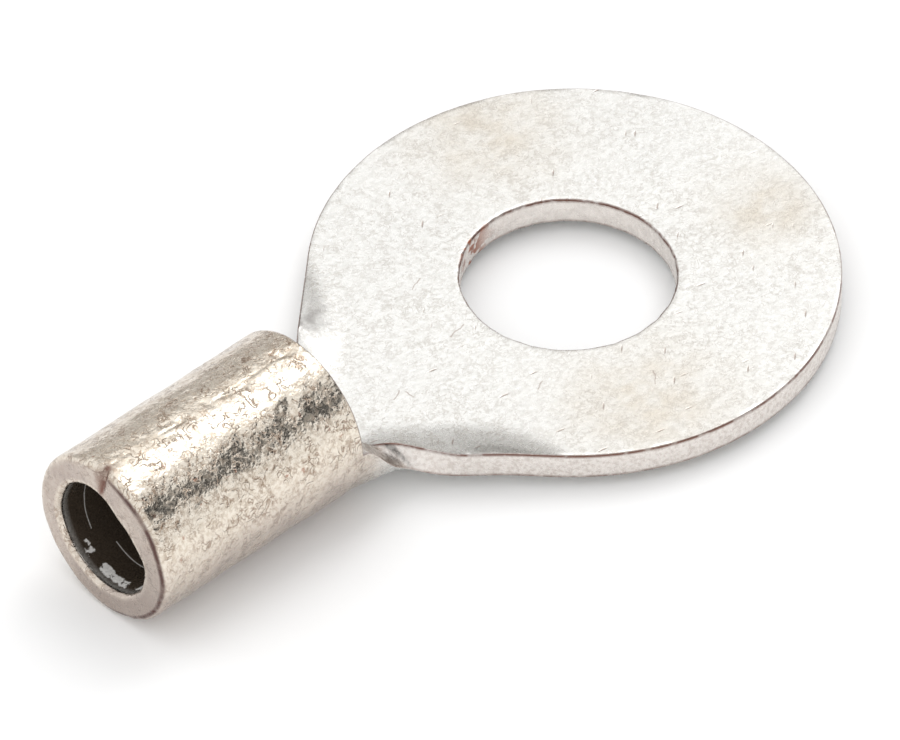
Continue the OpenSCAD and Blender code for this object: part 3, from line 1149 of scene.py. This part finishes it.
lamps = {
    "softbox": {"direction": (0.49, 0.53, 0.72), "distance": 0.40, "size": (0.30, 0.30), "power": 0.05},
    "topLamp": {"direction": (0.49, 0.14, 0.86), "distance": 0.45, "size": (0.18, 0.26), "power": 0.25},
}

# Paper cards that only the metal sees, for the dark and grey bands on the barrel
cards = {
    "darkCard": {
        "direction": (0.493, -0.588, 0.641),
        "distance": 0.30,
        "size": (0.40, 0.10),
        "colour": (0.03, 0.03, 0.03, 1),
    },
    "greyCard": {
        "direction": (0.49, 0.83, 0.32),
        "distance": 0.36,
        "size": (0.60, 0.235),
        "colour": (0.56, 0.55, 0.54, 1),
    },
}


def paper(name, colour):
    material = bpy.data.materials.new(name)
    material.use_nodes = True
    shader = material.node_tree.nodes["Principled BSDF"]
    shader.inputs["Base Color"].default_value = colour
    shader.inputs["Roughness"].default_value = studio["paperRoughness"]
    return material


def makeFloor():
    mesh = bpy.data.meshes.new("floor")
    half = studio["floorSize"]
    bottom = lowCorner.z
    corners = [(-half, -half, bottom), (half, -half, bottom), (half, half, bottom), (-half, half, bottom)]
    mesh.from_pydata(corners, [], [(0, 1, 2, 3)])
    floor = addObject("floor", mesh)
    material = paper("floorPaper", studio["floorColour"])
    shader = material.node_tree.nodes["Principled BSDF"]
    shader.inputs["Specular IOR Level"].default_value = studio["floorSpecular"]
    mesh.materials.append(material)


# White wherever it is seen, in the metal too, and a little stronger as light
def makeWorld():
    world = bpy.data.worlds.new("studio")
    world.use_nodes = True
    tree = world.node_tree
    tree.nodes.clear()
    rays = addNode(tree, "LightPath").outputs
    seen = largest(tree, rays["Is Camera Ray"], rays["Is Glossy Ray"], rays["Is Transmission Ray"])
    strength = remap(tree, seen, 0, 1, studio["worldStrength"], 1.0)
    light = addNode(tree, "Background", {}, {"Color": (1, 1, 1, 1), "Strength": strength})
    out = tree.nodes.new("ShaderNodeOutputWorld")
    tree.links.new(light.outputs[0], out.inputs["Surface"])
    bpy.context.scene.world = world


# Puts a lamp or a card in its place and turns it to the stud hole
def hang(item, direction, distance):
    item.location = Vector(direction).normalized() * distance
    item.rotation_euler = (-item.location).to_track_quat("-Z", "Y").to_euler()


def areaLamp(name, direction, distance, size, power):
    data = bpy.data.lights.new(name, "AREA")
    data.shape = "RECTANGLE"
    data.size, data.size_y = size
    data.energy = power
    hang(addObject(name, data), direction, distance)


def makeCard(name, direction, distance, size, colour):
    mesh = bpy.data.meshes.new(name)
    w, h = size[0] / 2, size[1] / 2
    mesh.from_pydata([(-w, -h, 0), (w, -h, 0), (w, h, 0), (-w, h, 0)], [], [(0, 1, 2, 3)])
    mesh.materials.append(paper(name, colour))
    card = addObject(name, mesh)
    hang(card, direction, distance)
    card.visible_camera = False


makeFloor()
makeWorld()
for name, lamp in lamps.items():
    areaLamp(name, **lamp)
for name, card in cards.items():
    makeCard(name, **card)

view = {
    "azimuth": -42.99,
    "elevation": 43.67,
    "roll": 0.18,
    "distance": 594.1,
    "lens": 800,
    "sensor": 36,
    "clip": (0.01, 20),  # metres
    "target": (-5.337, -0.540, 0.8),
}


def makeCamera():
    data = bpy.data.cameras.new("camera")
    data.lens = view["lens"]
    data.sensor_width = view["sensor"]
    data.clip_start, data.clip_end = view["clip"]
    camera = addObject("camera", data)
    azimuth = math.radians(view["azimuth"])
    elevation = math.radians(view["elevation"])
    back = Vector((
        math.sin(azimuth) * math.cos(elevation),
        -math.cos(azimuth) * math.cos(elevation),
        math.sin(elevation)))
    right = Vector((0, 0, 1)).cross(back).normalized()
    up = back.cross(right)
    roll = math.radians(view["roll"])
    tilted = right * math.cos(roll) - up * math.sin(roll)
    up = back.cross(tilted)
    camera.matrix_world = Matrix((tilted, up, back)).transposed().to_4x4()
    camera.location = Vector(view["target"]) * mm + back * view["distance"] * mm
    bpy.context.scene.camera = camera


makeCamera()
bpy.context.scene.view_settings.view_transform = "Standard"
print("studio: lights, floor and camera set")
